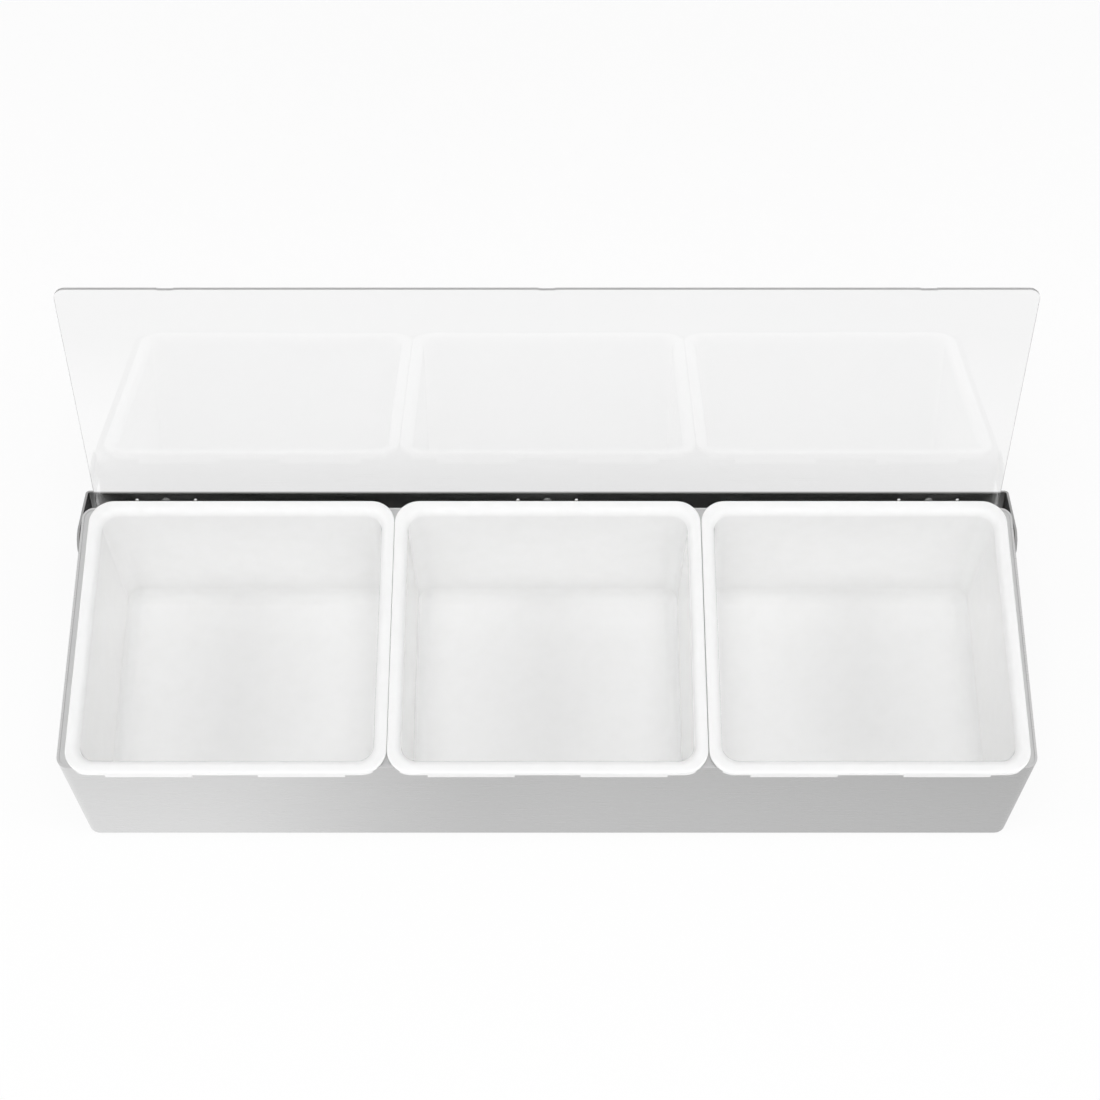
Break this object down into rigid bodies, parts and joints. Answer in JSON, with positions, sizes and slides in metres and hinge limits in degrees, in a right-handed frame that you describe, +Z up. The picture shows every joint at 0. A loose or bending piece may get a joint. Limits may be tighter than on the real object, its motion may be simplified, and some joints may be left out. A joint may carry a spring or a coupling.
{
  "type": "condiment caddy with flip lid",
  "caption": "Long steel condiment tray with drop-in white inserts side by side and one clear full-width lid that flips up on a rear bracket.",
  "frame": {"origin": "middle of the tray's flat underside, on the surface that it stands on", "axes": "+X along the tray to the right as seen from the front, +Y towards the hinge side, +Z up"},
  "size_m": [0.4916, 0.2048, 0.213],
  "materials": {
    "tray_steel": "fine lengthwise brushing",
    "bracket_steel": "fine brushing, a little brighter than the tray",
    "rivet_steel": "tumbled",
    "insert_plastic": "moulded gloss white",
    "washer_nylon": "natural nylon",
    "panel_clear": "clear moulded sheet, glossy both sides"
  },
  "bodies": {
    "base": {"base_tray": "tray_steel", "insert_left": "insert_plastic", "insert_middle": "insert_plastic", "insert_right": "insert_plastic", "pivot_rivet_left": "rivet_steel", "pivot_rivet_right": "rivet_steel", "pivot_washer_left": "washer_nylon", "pivot_washer_right": "washer_nylon"},
    "lid": {"lid_panel": "panel_clear", "lid_bracket": "bracket_steel", "panel_rivets": "rivet_steel"}
  },
  "joints": [
    {"name": "lid_hinge", "type": "hinge", "parent": "base", "child": "lid", "pos_m": [0, 0.0615, 0.0785], "axis": [1, 0, 0], "range_deg": [0, 110]}
  ]
}
